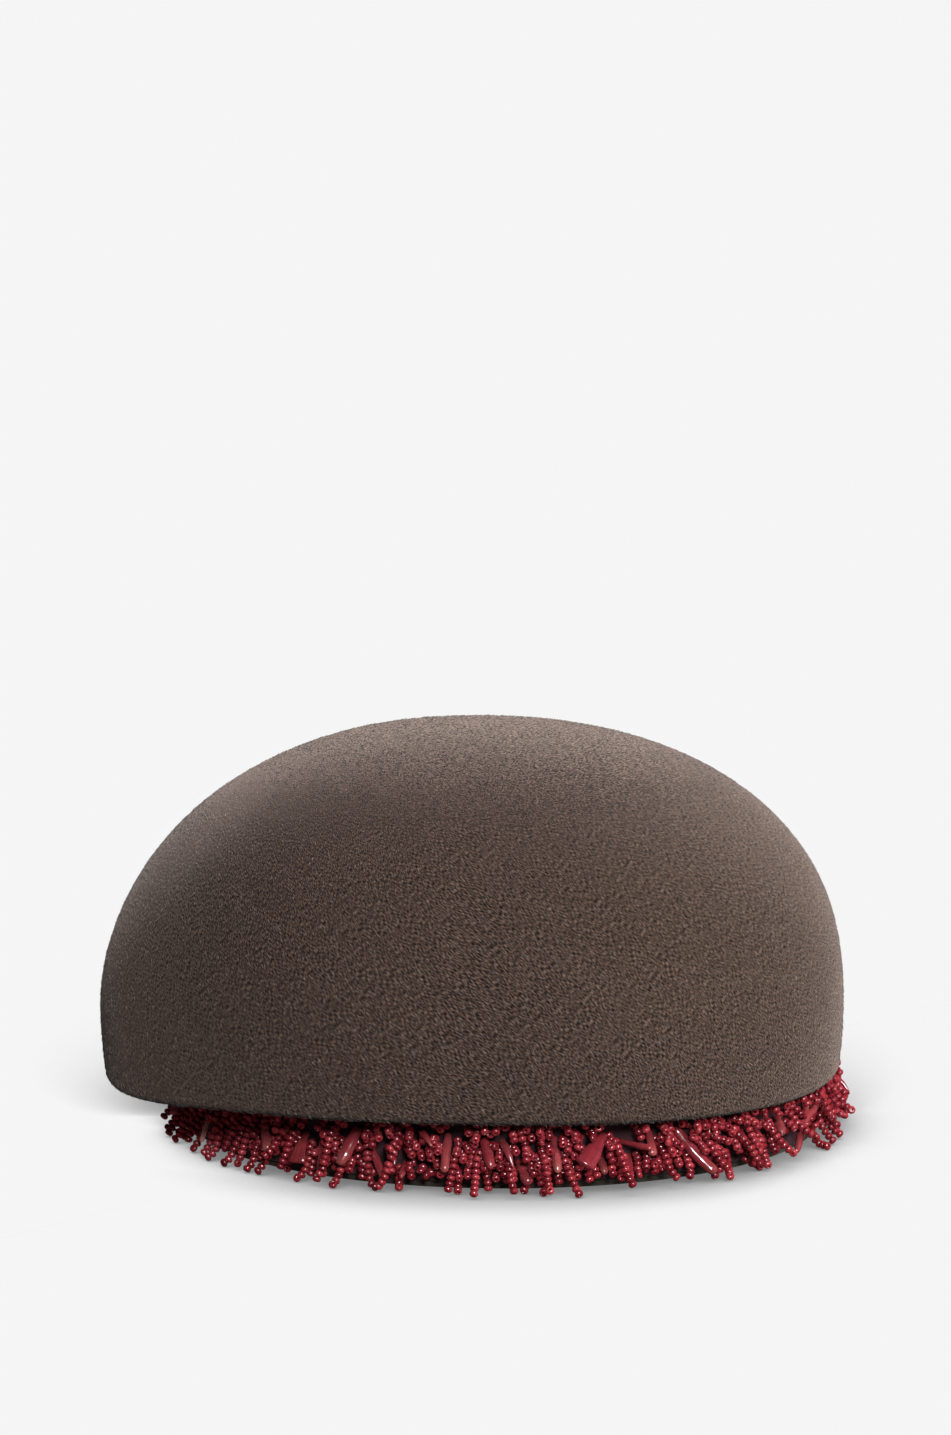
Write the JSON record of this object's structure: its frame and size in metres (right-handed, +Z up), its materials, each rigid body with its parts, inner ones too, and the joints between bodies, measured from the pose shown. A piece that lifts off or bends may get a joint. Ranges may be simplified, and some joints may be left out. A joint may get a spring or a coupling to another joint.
{
  "type": "toque hat",
  "caption": "Brimless felt toque: a hollow blocked dome with its edge folded under, on a head band trimmed all round with a fringe of seed-bead strands and polished coral sticks.",
  "frame": {"origin": "on the surface that the hat rests on, under the middle of its whole length and width", "axes": "+X along the head, towards the end where the fringe stands past the crown; +Z up; -Y is the side that the picture shows"},
  "size_m": [0.2279, 0.19, 0.1226],
  "materials": {
    "felt": "taupe brown fur felt, short brushed nap, matt with a soft sheen at grazing angles",
    "band_felt": "dark brown felt, matt",
    "seed_beads": "opaque coral red glass seed beads, glossy",
    "coral": "polished coral red sticks, glossy"
  },
  "bodies": {
    "root": {"crown": "felt", "band": "band_felt", "bead_fringe_01": "seed_beads", "bead_fringe_02": "seed_beads", "bead_fringe_03": "seed_beads", "bead_fringe_04": "seed_beads", "bead_fringe_05": "seed_beads", "bead_fringe_06": "seed_beads", "bead_fringe_07": "seed_beads", "bead_fringe_08": "seed_beads", "bead_fringe_09": "seed_beads", "bead_fringe_10": "seed_beads", "bead_fringe_11": "seed_beads", "bead_fringe_12": "seed_beads", "coral_01": "coral", "coral_02": "coral", "coral_03": "coral", "coral_04": "coral", "coral_05": "coral", "coral_06": "coral", "coral_07": "coral", "coral_08": "coral", "coral_09": "coral", "coral_10": "coral", "coral_11": "coral", "coral_12": "coral", "coral_13": "coral", "coral_14": "coral", "coral_15": "coral", "coral_16": "coral", "coral_17": "coral", "coral_18": "coral", "coral_19": "coral", "coral_20": "coral", "coral_21": "coral", "coral_22": "coral", "coral_23": "coral", "coral_24": "coral", "coral_25": "coral", "coral_26": "coral", "coral_27": "coral", "coral_28": "coral", "coral_29": "coral", "coral_30": "coral", "coral_31": "coral", "coral_32": "coral", "coral_33": "coral", "coral_34": "coral", "coral_35": "coral", "coral_36": "coral", "coral_37": "coral", "coral_38": "coral", "coral_39": "coral", "coral_40": "coral"}
  },
  "joints": []
}
